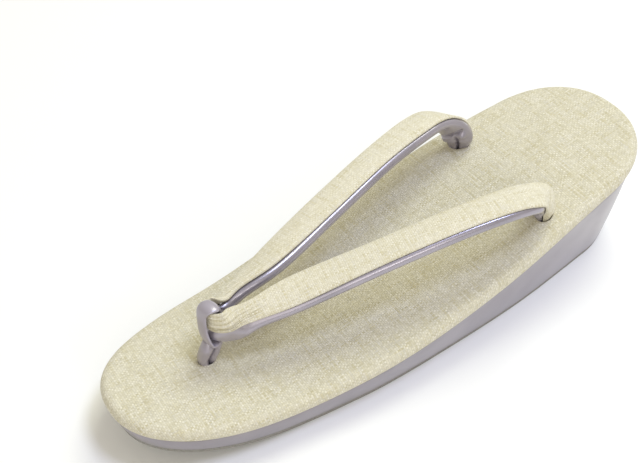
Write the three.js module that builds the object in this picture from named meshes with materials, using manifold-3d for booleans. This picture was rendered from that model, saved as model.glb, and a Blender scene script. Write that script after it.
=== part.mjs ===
// A zori: a flat-soled sandal with a padded V-shaped strap, for the left or the right foot.
// Millimetres, Z up, toe towards -Y, heel towards +Y. The origin is on the floor under the middle.

import * as THREE from 'three';
import { mergeVertices } from 'three/addons/utils/BufferGeometryUtils.js';
import Module from 'manifold-3d';

// Driving dimensions

const LENGTH = 240; // along the seam between footbed and midsole
const GAP = 0.3; // between pieces that meet
const FOOTBED_OVERHANG = 1; // of the rolled edge past the seam
const ROLL_RADIUS = 4; // of the footbed's rolled edge
const ROLL_LIFT = 1.3; // centre of the roll over the seam
const FOOTBED_CROWN = 0.8; // height of the footbed's middle over its rolled edge
const OUTSOLE_THICKNESS = 1.8;
const OUTSOLE_INSET = 0.7; // of the outsole's edge behind the midsole's lower edge
const EDGE_BREAK = 0.6; // soft corner along the midsole's edges

// How far from the toe each feature ends or starts, as a share of LENGTH
const TOE_ROUND = { reach: 0.318, power: 2.35 };
const HEEL_ROUND = { reach: 0.17, power: 2.23 };
const TOE_SPRING = { rise: 12, reach: 0.302, power: 1.9 };

// Half the width before the toe and heel are rounded off
const PLAN = table(['at', 'half'], [
  [0.12, 35.1],
  [0.25, 35.9],
  [0.4, 39.3],
  [0.55, 39.7],
  [0.7, 38.4],
  [0.85, 34.5],
]);

// Height of the seam over the floor, and how far the lower edge draws in under it
const SIDE = table(['at', 'seam', 'drawIn'], [
  [0, 20.7, 0.9],
  [0.12, 15.6, 1.6],
  [0.25, 13.5, 2.4],
  [0.38, 15.6, 3.2],
  [0.5, 19.3, 4],
  [0.62, 25.4, 4.7],
  [0.75, 33.6, 5.5],
  [0.88, 39.9, 6.3],
  [1, 44.9, 7.1],
]);

// One arm of the strap, from the fold under the toe loop to its rear hole. lift and turn say which
// way the woven face looks: lift up from level, turn round from the toe. half is from the middle to
// a seam. The woven half bulges faceEdge past the seams, high more past the upper one, and rises
// faceRise. The leather half bulges backEdge, low more past the lower seam, and hangs backRise.
const ARM = table(
  [
    'x', 'y', 'z', 'lift', 'turn', 'half',
    'faceEdge', 'faceRise', 'high', 'backEdge', 'backRise', 'low',
  ],
  [
    [0, -76.6, 40, 6, 0, 2, 0.5, 1.8, 3.8, 0.8, 1.5, 5],
    [3.1, -75.5, 40.2, 6, 48, 1.9, 0.5, 1.8, 4.2, 0.8, 1.6, 5.4],
    [4.9, -72.3, 40.1, 12, 80, 1.9, 0.5, 2.3, 4.6, 0.8, 2.2, 5.7],
    [5.6, -67.6, 40.9, 50, 82, 2.15, 0.6, 3, 2.6, 0.8, 4.4, 3.9],
    [7.2, -61, 43, 60, 82, 3, 0.75, 2.2, 0.7, 1.4, 5, 1.8],
    [10, -44.7, 46.1, 75, 80, 5.05, 0.85, 2, 0, 2, 5.5, 0.3],
    [16.9, -14.5, 51.7, 87, 78, 5, 0.85, 2, 0, 2.1, 5.6, 0],
    [23.7, 15.7, 56.6, 87, 80, 4.9, 0.85, 2, 0, 2.1, 5.6, 0],
    [28.2, 38.3, 57.9, 86, 90, 5.15, 0.85, 2, 0, 2, 5.3, 0],
    [29.8, 49.6, 55.7, 72, 112, 4.9, 0.8, 1.9, 0, 1.6, 4.9, 0],
    [28.4, 56.4, 50.7, 34, 122, 4.4, 0.8, 1.7, 0, 1.2, 5.2, 0.9],
    [27.2, 59.6, 46, 10, 130, 4.8, 0.5, 2.8, 0, 0.9, 5.6, 1.7],
    [26.4, 60, 42.8, 0, 134, 4.7, 0.4, 4.1, 0, 0.8, 5.2, 1.7],
    [26.2, 59.8, 40.4, 0, 135, 3.9, 0.3, 3.9, 0, 0.5, 3.4, 1],
    [26.2, 59.8, 35.2, 0, 135, 3.2, 0.2, 2.4, 0, 0.3, 2.2, 0],
  ],
);
const TURN = { face: 0.6, back: 1 }; // how each half turns beside the seam: under 1 is sharper

// The toe loop: a ring in the fold's own leaning plane. high and deep are its inner half sizes, and
// square makes it fuller at the corners than an oval.
const LOOP = { middle: [0, -76.2, 39.5], lean: 4, high: 7.7, deep: 3.1, wall: 1.15, square: 0.7 };
const LOOP_BEVEL = 0.7; // share of the ring's wall and width inside its bevelled edges

// The ring from its front over the top, down between the arms and back underneath: half its width,
// how far it lies to the right, and how many degrees it is twisted
const LOOP_WAY = table(['at', 'half', 'shift', 'tilt'], [
  [0, 2.3, 0, 16],
  [0.1, 2.8, -0.9, 10],
  [0.18, 3.4, -0.6, 0],
  [0.25, 3.5, -0.2, 0],
  [0.31, 3.1, 0.2, 0],
  [0.37, 1.9, 0.1, 0],
  [0.5, 1.8, 0, 0],
  [0.64, 2, 0.4, 0],
  [0.75, 2.7, 1.9, 0],
  [0.83, 3, 2.2, 6],
  [0.9, 2.7, 1.4, 14],
  [1, 2.3, 0, 16],
]);

// The loop's two legs, one ahead of the other, from the hole up to the ring
const LEG_COLUMNS = ['z', 'x', 'y', 'halfX', 'halfY'];
const FRONT_LEG = table(LEG_COLUMNS, [
  [15.3, -0.4, -81.6, 2.2, 1.6],
  [20, -0.7, -81.7, 2.6, 1.8],
  [22, -0.6, -81.8, 2.7, 1.9],
  [24.5, 0, -81.5, 2.8, 2.1],
  [26.5, 0.5, -81, 2.8, 2.3],
  [29.5, 1.1, -79.9, 2.8, 2.5],
  [31, 0.9, -79.6, 2.3, 1.9],
  [32.5, 0.6, -79.4, 1.5, 1.2],
]);
const REAR_LEG = table(LEG_COLUMNS, [
  [15.3, -0.4, -78.4, 1.8, 1.5],
  [20, -0.5, -78.2, 2.1, 1.6],
  [22, -0.2, -77.9, 2.3, 1.8],
  [24.5, 0.5, -77, 2.2, 1.8],
  [26.5, 1, -76.3, 2, 1.6],
  [29.5, 1.5, -75.3, 1.8, 1.4],
  [31.4, 1.7, -75.2, 1.6, 1.3],
]);

// Holes through the footbed: turned and long enough for what passes through each
const HOLE_MARGIN = 0.5;
const HOLE_REACH = 60; // upwards from the floor, past the footbed's top
const FRONT_HOLE = { x: -0.6, y: -80.05, halfX: 2.8, halfY: 3.6, turn: 0 };
const REAR_HOLE = { x: 26.7, y: 59.8, halfX: 4.8, halfY: 3.8, turn: -45 };

// Mesh counts
const AROUND = 80; // points round the outline
const LOOP_STEPS = 36; // sections round the toe loop's ring
const LEG_CORNERS = 12;
const HOLE_SEGMENTS = 12; // for each curve of a hole's outline
const MERGE_WITHIN = 1e-4; // points closer than this are one
const PLACE_STEP = 0.01; // along the strap's table, for its direction
const ARM_STEPS = 28; // sections along one arm
const LOBE_STEPS = 9; // facets over each half of the strap
const ROLL_STEPS = 6; // facets round the footbed's edge
const INNER_RINGS = [0.84, 0.62, 0.38, 0.14]; // rings inside the outline, as shares of it

const wasm = await Module();
wasm.setup();

// Rows of numbers as rows with named columns
function table(names, rows) {
  return rows.map((row) => Object.fromEntries(names.map((name, i) => [name, row[i]])));
}

// A smooth curve through one column of a table
function column(rows, key, name) {
  const places = new Float32Array(rows.map((row) => row[key]));
  const values = new Float32Array(rows.map((row) => row[name]));
  const curve = new THREE.CubicInterpolant(places, values, 1, new Float32Array(1));
  const first = places[0];
  const last = places[places.length - 1];
  return (at) => curve.evaluate(Math.min(Math.max(at, first), last))[0];
}

const bodyHalf = column(PLAN, 'at', 'half');
const seamHeight = column(SIDE, 'at', 'seam');
const drawIn = column(SIDE, 'at', 'drawIn');

// The floor side: flat from the ball to the heel, curling up at the toe
function baseHeight(at) {
  return TOE_SPRING.rise * Math.max(1 - at / TOE_SPRING.reach, 0) ** TOE_SPRING.power;
}

// How much an end narrows: 1 away from it, 0 at its tip
function endRound(fromTip, { reach, power }) {
  const share = Math.max(1 - fromTip / reach, 0);
  return Math.max(1 - share ** power, 0) ** (1 / power);
}

function halfWidth(at) {
  return bodyHalf(at) * endRound(at, TOE_ROUND) * endRound(1 - at, HEEL_ROUND);
}

function alongOf(y) {
  return Math.min(Math.max(y / LENGTH + 0.5, 0), 1);
}

// The seam outline as points with outward directions, toe first, then up the +X side
function outline() {
  const points = [];
  for (let i = 0; i < AROUND; i += 1) {
    const angle = (2 * Math.PI * i) / AROUND;
    const at = (1 - Math.cos(angle)) / 2;
    const side = angle < Math.PI ? 1 : -1;
    points.push(new THREE.Vector2(side * halfWidth(at), (at - 0.5) * LENGTH));
  }
  return points.map((point, i) => {
    const before = points[(i + AROUND - 1) % AROUND];
    const after = points[(i + 1) % AROUND];
    const along = after.clone().sub(before).normalize();
    return { point, out: new THREE.Vector2(along.y, -along.x), at: alongOf(point.y) };
  });
}

const OUTLINE = outline();

// One ring round the sole: inset behind the seam, shrunk towards the middle, at a height
function soleRing(insetAt, heightAt, share = 1) {
  return OUTLINE.map(({ point, out, at }) => {
    const place = point.clone().addScaledVector(out, -insetAt(at)).multiplyScalar(share);
    return new THREE.Vector3(place.x, place.y, heightAt(alongOf(place.y)));
  });
}

// Rings over a face, from its edge to its middle point
function soleFace(insetAt, heightAt) {
  const rings = INNER_RINGS.map((share) => soleRing(insetAt, heightAt, share));
  rings.push([new THREE.Vector3(0, 0, heightAt(0.5))]);
  return rings;
}

// Rings of equal length, some shrunk to a point, as one closed mesh with its faces out
function closedMesh(rings) {
  const points = rings.flat();
  const faces = [];
  const start = [];
  let total = 0;
  for (const ring of rings) {
    start.push(total);
    total += ring.length;
  }
  for (let r = 0; r + 1 < rings.length; r += 1) {
    const low = rings[r].length;
    const high = rings[r + 1].length;
    const count = Math.max(low, high);
    for (let i = 0; i < count; i += 1) {
      const next = (i + 1) % count;
      const a = start[r] + (low > 1 ? i : 0);
      const b = start[r] + (low > 1 ? next : 0);
      const c = start[r + 1] + (high > 1 ? next : 0);
      const d = start[r + 1] + (high > 1 ? i : 0);
      if (low === 1) faces.push(a, c, d);
      else if (high === 1) faces.push(a, b, d);
      else faces.push(...quad(points, a, b, c, d));
    }
  }
  return outwards(points, faces);
}

// Two triangles, cut along the shorter diagonal so that faces that meet are cut alike
function quad(points, a, b, c, d) {
  const first = points[a].distanceTo(points[c]);
  const second = points[b].distanceTo(points[d]);
  return first < second ? [a, b, c, a, c, d] : [a, b, d, b, c, d];
}

// Turns every face over if the mesh is inside out
function outwards(points, faces) {
  let volume = 0;
  for (let f = 0; f < faces.length; f += 3) {
    const [a, b, c] = [points[faces[f]], points[faces[f + 1]], points[faces[f + 2]]];
    volume += a.dot(b.clone().cross(c));
  }
  const geometry = new THREE.BufferGeometry().setFromPoints(points);
  geometry.setIndex(volume > 0 ? faces : faces.slice().reverse());
  return geometry;
}

// Centre of a ring, to close an open end
function middle(ring) {
  const sum = ring.reduce((total, point) => total.add(point), new THREE.Vector3());
  return [sum.divideScalar(ring.length)];
}

function tube(rings) {
  return closedMesh([middle(rings[0]), ...rings, middle(rings[rings.length - 1])]);
}

function solidOf(geometry) {
  const bare = geometry.clone();
  bare.deleteAttribute('normal');
  bare.deleteAttribute('uv');
  const merged = mergeVertices(bare, MERGE_WITHIN);
  const vertProperties = new Float32Array(merged.attributes.position.array);
  const triVerts = new Uint32Array(merged.index.array);
  return new wasm.Manifold(new wasm.Mesh({ numProp: 3, vertProperties, triVerts }));
}

function geometryOf(solid) {
  const mesh = solid.getMesh();
  const geometry = new THREE.BufferGeometry();
  geometry.setAttribute('position', new THREE.BufferAttribute(mesh.vertProperties, 3));
  geometry.setIndex(new THREE.BufferAttribute(mesh.triVerts, 1));
  return geometry;
}

// The pale sheet underneath
function outsole() {
  const inset = (at) => drawIn(at) + OUTSOLE_INSET;
  const top = (at) => baseHeight(at) + OUTSOLE_THICKNESS;
  return closedMesh([
    ...soleFace(inset, baseHeight).reverse(),
    soleRing(inset, baseHeight),
    soleRing(inset, top),
    ...soleFace(inset, top),
  ]);
}

// The leather-wrapped wedge: upright at the toe, drawn in under the heel
function midsole() {
  const low = (at) => baseHeight(at) + OUTSOLE_THICKNESS + GAP;
  const high = (at) => seamHeight(at) - GAP / 2;
  const lowInset = (at) => drawIn(at) + EDGE_BREAK;
  const highInset = () => EDGE_BREAK;
  return closedMesh([
    ...soleFace(lowInset, low).reverse(),
    soleRing(lowInset, low),
    soleRing(drawIn, (at) => low(at) + EDGE_BREAK),
    soleRing(() => 0, (at) => high(at) - EDGE_BREAK),
    soleRing(highInset, high),
    ...soleFace(highInset, high),
  ]);
}

// The padded top: flat below, rolled at its edge, slightly crowned, with three holes
function footbed() {
  const low = (at) => seamHeight(at) + GAP / 2;
  const lowInset = () => EDGE_BREAK;
  const rollInset = ROLL_RADIUS - FOOTBED_OVERHANG;
  const rings = [...soleFace(lowInset, low).reverse(), soleRing(lowInset, low)];
  for (let i = 0; i <= ROLL_STEPS; i += 1) {
    const angle = (Math.PI / 2) * (i / ROLL_STEPS);
    const inset = rollInset - ROLL_RADIUS * Math.cos(angle);
    const rise = ROLL_LIFT + ROLL_RADIUS * Math.sin(angle);
    rings.push(soleRing(() => inset, (at) => seamHeight(at) + rise));
  }
  for (const share of INNER_RINGS) {
    const rise = ROLL_LIFT + ROLL_RADIUS + FOOTBED_CROWN * (1 - share * share);
    rings.push(soleRing(() => rollInset, (at) => seamHeight(at) + rise, share));
  }
  const crown = seamHeight(0.5) + ROLL_LIFT + ROLL_RADIUS + FOOTBED_CROWN;
  rings.push([new THREE.Vector3(0, 0, crown)]);
  const farHole = { ...REAR_HOLE, x: -REAR_HOLE.x, turn: -REAR_HOLE.turn };
  let solid = solidOf(closedMesh(rings));
  for (const hole of [FRONT_HOLE, REAR_HOLE, farHole]) {
    solid = solid.subtract(solidOf(holeCut(hole)));
  }
  return geometryOf(solid);
}

// An upright oval plug, long enough to go right through the footbed
function holeCut({ x, y, halfX, halfY, turn }) {
  const shape = new THREE.Shape();
  const [wide, deep] = [halfX + HOLE_MARGIN, halfY + HOLE_MARGIN];
  shape.absellipse(0, 0, wide, deep, 0, 2 * Math.PI, false, THREE.MathUtils.degToRad(turn));
  const size = { depth: HOLE_REACH, bevelEnabled: false, curveSegments: HOLE_SEGMENTS };
  return new THREE.ExtrudeGeometry(shape, size).translate(x, y, 0);
}

// A direction that is lift degrees above level and turn degrees round from the toe
function facing(lift, turn) {
  const up = THREE.MathUtils.degToRad(lift);
  const round = THREE.MathUtils.degToRad(turn);
  return new THREE.Vector3(
    Math.sin(round) * Math.cos(up),
    -Math.cos(round) * Math.cos(up),
    Math.sin(up),
  );
}

// Sections from the left rear hole, round the fold, to the right rear hole
function strapSections() {
  const left = ARM.slice(1).reverse().map((row) => ({ ...row, x: -row.x, turn: -row.turn }));
  const rows = [...left, ...ARM].map((row, place) => ({ ...row, place }));
  const read = {};
  for (const name of Object.keys(rows[0])) read[name] = column(rows, 'place', name);
  const spot = (place) => new THREE.Vector3(read.x(place), read.y(place), read.z(place));
  const last = rows.length - 1;
  const sections = [];
  for (let i = 0; i <= 2 * ARM_STEPS; i += 1) {
    const place = (last * i) / (2 * ARM_STEPS);
    const before = spot(Math.max(place - PLACE_STEP, 0));
    const ahead = spot(Math.min(place + PLACE_STEP, last)).sub(before).normalize();
    const face = facing(read.lift(place), read.turn(place));
    face.addScaledVector(ahead, -face.dot(ahead)).normalize();
    const side = ahead.clone().cross(face);
    const sizes = Object.fromEntries(Object.keys(read).map((name) => [name, read[name](place)]));
    sections.push({ centre: spot(place), face, side, ...sizes });
  }
  return sections;
}

// One half of the strap's section: flat inside, bulging past the seams and outwards. more is how
// much further it goes past the outer and the inner seam, and turn how sharply it turns there.
function lobe({ centre, face, side, half }, edge, rise, more, sign, turn) {
  const reaches = more.map((extra) => half + edge + extra);
  const starts = reaches.map((reach) => Math.acos(half / reach));
  const ring = [];
  for (let i = 0; i <= LOBE_STEPS; i += 1) {
    const angle = -starts[0] + ((Math.PI + starts[0] + starts[1]) * i) / LOBE_STEPS;
    const end = Math.cos(angle) < 0 ? 1 : 0;
    const lead = Math.sin(starts[end]);
    const most = rise / (1 + lead);
    let across = reaches[end] * Math.cos(angle);
    let out = most * (lead + Math.sin(angle));
    if (Math.sin(angle) < 0) {
      // Each half runs out level from the seam, then turns
      const down = Math.asin(Math.min(-Math.sin(angle) / lead, 1));
      const roll = Math.PI / 2 - down;
      const over = (reaches[end] - half) * Math.sin(roll) ** turn;
      across = Math.sign(across) * (half + over);
      out = most * lead * (1 - Math.max(Math.cos(roll), 0) ** turn);
    }
    const spot = centre.clone().addScaledVector(side, across);
    ring.push(spot.addScaledVector(face, sign * (GAP / 2 + out)));
  }
  return ring;
}

function strapFace(sections) {
  return tube(sections.map((section) => {
    const { faceEdge, faceRise, high } = section;
    return lobe(section, faceEdge, faceRise, [0, high], 1, TURN.face);
  }));
}

function strapBacking(sections) {
  return tube(sections.map((section) => {
    const { backEdge, backRise, low } = section;
    return lobe(section, backEdge, backRise, [low, 0], -1, TURN.back);
  }));
}

// The leather strip: a flat ring round the fold, joined to two legs with a slit between them
function toeLoop() {
  const read = ['half', 'shift', 'tilt'].map((name) => column(LOOP_WAY, 'at', name));
  const lean = THREE.MathUtils.degToRad(LOOP.lean);
  const ahead = new THREE.Vector3(0, -Math.cos(lean), Math.sin(lean));
  const up = new THREE.Vector3(0, Math.sin(lean), Math.cos(lean));
  const right = new THREE.Vector3(1, 0, 0);
  const squared = (value) => Math.sign(value) * Math.abs(value) ** LOOP.square;
  const rings = [];
  for (let i = 0; i < LOOP_STEPS; i += 1) {
    const angle = (2 * Math.PI * i) / LOOP_STEPS;
    const [half, shift, twist] = read.map((curve) => curve(i / LOOP_STEPS));
    const [forward, upward] = [squared(Math.cos(angle)), squared(Math.sin(angle))];
    const centre = new THREE.Vector3(...LOOP.middle)
      .addScaledVector(right, shift)
      .addScaledVector(ahead, LOOP.deep * forward)
      .addScaledVector(up, LOOP.high * upward);
    const normal = ahead.clone().multiplyScalar(forward).addScaledVector(up, upward).normalize();
    const tilt = THREE.MathUtils.degToRad(twist);
    const across = right.clone().multiplyScalar(Math.cos(tilt));
    across.addScaledVector(normal, -Math.sin(tilt));
    const outward = normal.clone().multiplyScalar(Math.cos(tilt));
    outward.addScaledVector(right, Math.sin(tilt));
    const corner = (x, out) => (
      centre.clone().addScaledVector(across, x).addScaledVector(outward, out)
    );
    const flat = half * LOOP_BEVEL;
    const edge = LOOP.wall * LOOP_BEVEL;
    rings.push([
      corner(-half, 0),
      corner(half, 0),
      corner(half, edge),
      corner(flat, LOOP.wall),
      corner(-flat, LOOP.wall),
      corner(-half, edge),
    ]);
  }
  const legs = solidOf(leg(FRONT_LEG)).add(solidOf(leg(REAR_LEG)));
  return geometryOf(solidOf(closedRing(rings)).add(legs));
}

// Rings joined end to end, the last to the first
function closedRing(rings) {
  const count = rings[0].length;
  const points = rings.flat();
  const faces = [];
  for (let r = 0; r < rings.length; r += 1) {
    const next = (r + 1) % rings.length;
    for (let i = 0; i < count; i += 1) {
      const j = (i + 1) % count;
      faces.push(...quad(points, r * count + i, r * count + j, next * count + j, next * count + i));
    }
  }
  return outwards(points, faces);
}

// One leg of the loop
function leg(rows) {
  return tube(rows.map(({ z, x, y, halfX, halfY }) => {
    const ring = [];
    for (let i = 0; i < LEG_CORNERS; i += 1) {
      const angle = (2 * Math.PI * i) / LEG_CORNERS;
      ring.push(new THREE.Vector3(x + halfX * Math.cos(angle), y + halfY * Math.sin(angle), z));
    }
    return ring;
  }));
}

const zori = new THREE.Group();

function add(name, geometry, color, roughness) {
  const material = new THREE.MeshStandardMaterial({ color, roughness, metalness: 0 });
  const mesh = new THREE.Mesh(geometry, material);
  mesh.name = name;
  zori.add(mesh);
}

const STRAP = strapSections();
const WOVEN = '#e5dfc9';
const LILAC = '#a6a0a5';
add('outsole', outsole(), '#96968f', 0.8);
add('midsole', midsole(), LILAC, 0.4);
add('footbed', footbed(), WOVEN, 0.85);
add('strap_face', strapFace(STRAP), WOVEN, 0.85);
add('strap_backing', strapBacking(STRAP), LILAC, 0.4);
add('toe_loop', toeLoop(), LILAC, 0.4);

export default zori;
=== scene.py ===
"""A dress zori: woven footbed on a leather-wrapped wedge, with a padded strap and its toe loop.

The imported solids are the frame. Each one is replaced here by a finer piece of the same shape in
the same place. Sizes are in millimetres, Z up, toe towards -Y, and turn to metres in the mesh.
"""

import logging
import math
from dataclasses import dataclass, field
from enum import Enum
from typing import Callable, Sequence

import bmesh
import bpy
from mathutils import Matrix, Vector, noise


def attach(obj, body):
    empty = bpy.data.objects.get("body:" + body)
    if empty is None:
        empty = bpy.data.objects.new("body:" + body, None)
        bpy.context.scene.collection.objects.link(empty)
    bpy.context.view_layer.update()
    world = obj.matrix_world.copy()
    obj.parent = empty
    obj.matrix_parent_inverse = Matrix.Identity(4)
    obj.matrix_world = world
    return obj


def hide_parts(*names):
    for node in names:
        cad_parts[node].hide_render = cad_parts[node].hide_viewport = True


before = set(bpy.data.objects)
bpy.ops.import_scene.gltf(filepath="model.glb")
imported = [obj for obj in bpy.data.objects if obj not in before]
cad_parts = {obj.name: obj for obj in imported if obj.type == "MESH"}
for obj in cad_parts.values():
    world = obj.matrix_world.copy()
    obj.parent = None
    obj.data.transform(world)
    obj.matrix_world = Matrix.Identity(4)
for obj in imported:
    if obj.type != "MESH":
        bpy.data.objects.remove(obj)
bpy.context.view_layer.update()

LOG = logging.getLogger("zori")
MM = 0.001
BODY = "root"
CLOTH_UV = "cloth"
MERGE_WITHIN = 1e-7  # m
TINY = 1e-6  # keeps a division by 0 away
SHORT_STEP = 0.01  # of a row of the strap's table, to read its direction


class Slot(Enum):
    """The record's material slots."""

    WOVEN = "woven_cloth"
    LEATHER = "lilac_leather"
    RUBBER = "pale_rubber"


class Half(Enum):
    """The two halves of the strap, by the way each one bulges from the seam."""

    FACE = 1
    BACKING = -1


class Column:
    """A smooth curve through one column of a table."""

    def __init__(self, places: Sequence[float], values: Sequence[float]) -> None:
        """Keeps the points.

        Args:
            places: Rising places.
            values: The size at each place.
        """
        self.places = tuple(places)
        self.values = tuple(values)

    def __call__(self, place: float) -> float:
        """Reads the curve.

        Args:
            place: Where to read. Past an end, the end's value holds.

        Returns:
            The size there.
        """
        xs, ys = self.places, self.values
        at = min(max(place, xs[0]), xs[-1])
        high = 1
        while high < len(xs) - 1 and xs[high] <= at:
            high += 1
        low = high - 1
        x0, x1 = xs[low], xs[high]
        before = (xs[low - 1], ys[low - 1]) if low else (x1, ys[high])
        after = (xs[high + 1], ys[high + 1]) if high + 1 < len(xs) else (x0, ys[low])
        half = (x1 - x0) / 2
        wp = half / (x0 - before[0])
        wn = half / (after[0] - x1)
        p = (at - x0) / (x1 - x0)
        pp = p * p
        ppp = pp * p
        return (
            (-wp * ppp + 2 * wp * pp - wp * p) * before[1]
            + ((1 + wp) * ppp + (-1.5 - 2 * wp) * pp + (-0.5 + wp) * p + 1) * ys[low]
            + ((-1 - wn) * ppp + (1.5 + wn) * pp + 0.5 * p) * ys[high]
            + (wn * ppp - wn * pp) * after[1]
        )


def columns(names: str, rows: Sequence[Sequence[float]]) -> dict[str, Column]:
    """Turns a table into curves.

    Args:
        names: The columns' names, the place first.
        rows: The table's rows, in rising order of place.

    Returns:
        A curve for each column after the first.
    """
    places, *rest = zip(*rows)
    return {name: Column(places, values) for name, values in zip(names.split()[1:], rest)}


def smooth_step(low: float, high: float, value: float) -> float:
    """Eases from 0 at low to 1 at high."""
    share = min(max((value - low) / (high - low), 0.0), 1.0)
    return share * share * (3 - 2 * share)


def bell(value: float, width: float) -> float:
    """A bell of height 1 round 0."""
    return math.exp(-((value / width) ** 2))


def power(value: float, exponent: float) -> float:
    """A signed power, which squares up a sine or a cosine."""
    return math.copysign(abs(value) ** exponent, value)


class Shell:
    """A closed mesh grown ring by ring from one circle."""

    def __init__(self, spots: Sequence[Vector]) -> None:
        """Starts with one ring.

        Args:
            spots: The ring's points, in millimetres.
        """
        self.bm = bmesh.new()
        self.flat = self.bm.verts.layers.float_vector.new("flat")
        made = bmesh.ops.create_circle(self.bm, cap_ends=False, radius=1, segments=len(spots))
        self.ring = list(made["verts"])
        self.first = list(self.ring)
        self.put(spots)

    @classmethod
    def through(cls, rings: Sequence[Sequence[Vector]]) -> "Shell":
        """Makes a shell through rings.

        Args:
            rings: The rings, in order.

        Returns:
            The shell, open at both ends.
        """
        shell = cls(rings[0])
        for ring in rings[1:]:
            shell.grow(ring)
        return shell

    @classmethod
    def slab(
        cls, ring: Callable[..., list[Vector]], rows: Sequence[tuple[float, ...]],
        shares: Sequence[float],
    ) -> "Shell":
        """Makes a shell as wide as the sole, closed above and below on the centre line.

        Args:
            ring: Makes a ring from a row and a share.
            rows: A row for each ring of the edge, from the lower face to the upper.
            shares: Falling shares for the rings that close a face.

        Returns:
            The closed shell.
        """
        shell = cls.through([ring(*row) for row in rows])
        for row in (rows[-1], rows[0]):
            for share in shares:
                shell.grow(ring(*row, share))
            shell.turn_back()
        shell.merge()
        return shell

    def put(self, spots: Sequence[Vector], flats: Sequence[Vector] | None = None) -> None:
        """Moves the newest ring.

        Args:
            spots: The ring's points, in millimetres.
            flats: Where each point lies on the flat cloth, in millimetres.
        """
        for i, (vert, spot) in enumerate(zip(self.ring, spots)):
            vert.co = spot * MM
            if flats:
                vert[self.flat] = flats[i] * MM

    def edges(self) -> list[bmesh.types.BMEdge]:
        """The newest ring's edges."""
        return [self.bm.edges.get(pair) for pair in zip(self.ring, self.ring[1:] + self.ring[:1])]

    def grow(self, spots: Sequence[Vector], flats: Sequence[Vector] | None = None) -> None:
        """Extrudes the newest ring and moves the new one.

        Args:
            spots: The new ring's points, in millimetres.
            flats: Where each point lies on the flat cloth, in millimetres.
        """
        made = bmesh.ops.extrude_edge_only(self.bm, edges=self.edges())["geom"]
        fresh = {part for part in made if isinstance(part, bmesh.types.BMVert)}
        ends = [[edge.other_vert(vert) for edge in vert.link_edges] for vert in self.ring]
        self.ring = [next(vert for vert in near if vert in fresh) for near in ends]
        self.put(spots, flats)

    def shut(self) -> None:
        """Closes the newest ring onto its middle point."""
        middle = sum((vert.co for vert in self.ring), Vector()) / len(self.ring)
        made = bmesh.ops.extrude_edge_only(self.bm, edges=self.edges())["geom"]
        fresh = [part for part in made if isinstance(part, bmesh.types.BMVert)]
        bmesh.ops.pointmerge(self.bm, verts=fresh, merge_co=middle)
        self.ring = []

    def turn_back(self) -> None:
        """Makes the first ring the newest, to close the other end."""
        self.ring = list(self.first)

    def shut_both(self) -> None:
        """Closes both ends."""
        self.shut()
        self.turn_back()
        self.shut()

    def join_ends(self) -> None:
        """Bridges the newest ring to the first."""
        last = self.edges()
        self.turn_back()
        bmesh.ops.bridge_loops(self.bm, edges=last + self.edges())

    def merge(self) -> None:
        """Merges points that lie together."""
        bmesh.ops.remove_doubles(self.bm, verts=self.bm.verts, dist=MERGE_WITHIN)

    def add(self, other: "Shell") -> None:
        """Takes in another shell, as a second closed part of this piece.

        Args:
            other: The shell, which is used up.
        """
        other.outwards()
        mesh = bpy.data.meshes.new("part")
        other.bm.to_mesh(mesh)
        other.bm.free()
        self.bm.from_mesh(mesh)
        bpy.data.meshes.remove(mesh)

    def outwards(self) -> None:
        """Turns the faces out and shades them smooth."""
        bmesh.ops.recalc_face_normals(self.bm, faces=self.bm.faces)
        for face in self.bm.faces:
            face.smooth = True

    def piece(self, name: str, finish: bpy.types.Material, crease: float) -> bpy.types.Object:
        """Makes the object.

        Args:
            name: The piece's name.
            finish: Its material.
            crease: Edges that turn more than this many degrees stay sharp.

        Returns:
            The object, at the origin.
        """
        self.outwards()
        for edge in self.bm.edges:
            edge.smooth = edge.calc_face_angle(0.0) < math.radians(crease)
        uv = self.bm.loops.layers.uv.new(CLOTH_UV)
        for face in self.bm.faces:
            for loop in face.loops:
                loop[uv].uv = loop.vert[self.flat].xy
        mesh = bpy.data.meshes.new(name)
        self.bm.to_mesh(mesh)
        self.bm.free()
        mesh.attributes.remove(mesh.attributes["flat"])
        mesh.materials.append(finish)
        made = bpy.data.objects.new(name, mesh)
        bpy.context.scene.collection.objects.link(made)
        return made


def hand_over(piece: bpy.types.Object, node: str, slot: Slot) -> None:
    """Puts a piece under the body, hides the solid that it stands for, and logs both.

    Args:
        piece: The finished piece.
        node: The solid that it stands for.
        slot: Its material slot; not used.
    """
    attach(piece, BODY)
    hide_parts(node)
    LOG.info("%s stands for %s: %d faces", piece.name, node, len(piece.data.polygons))


def linear(code: str) -> tuple[float, float, float, float]:
    """Turns an sRGB hex colour to linear.

    Args:
        code: Such as "#e5dfc9".

    Returns:
        The colour for a shader socket, with its alpha.
    """
    parts = [int(code[i : i + 2], 16) / 255 for i in (1, 3, 5)]
    r, g, b = [c / 12.92 if c <= 0.04045 else ((c + 0.055) / 1.055) ** 2.4 for c in parts]
    return (r, g, b, 1.0)


def node(
    tree: bpy.types.NodeTree, kind: str, feeds: dict | None = None, **settings: object
) -> bpy.types.Node:
    """Adds a node.

    Args:
        tree: The material's node tree.
        kind: The node's type.
        feeds: A value, or the socket to link, for each input by name or number.
        settings: Values for the node's own settings.

    Returns:
        The node.
    """
    made = tree.nodes.new(kind)
    for name, value in settings.items():
        setattr(made, name, value)
    for socket, value in (feeds or {}).items():
        if isinstance(value, bpy.types.NodeSocket):
            tree.links.new(value, made.inputs[socket])
        else:
            made.inputs[socket].default_value = value
    return made


def fresh_material(name: str) -> tuple[bpy.types.Material, bpy.types.NodeTree]:
    """Starts a material.

    Args:
        name: Its name.

    Returns:
        The material and its tree, with no nodes yet.
    """
    material = bpy.data.materials.new(name)
    material.use_nodes = True
    material.node_tree.nodes.clear()
    return material, material.node_tree


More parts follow.
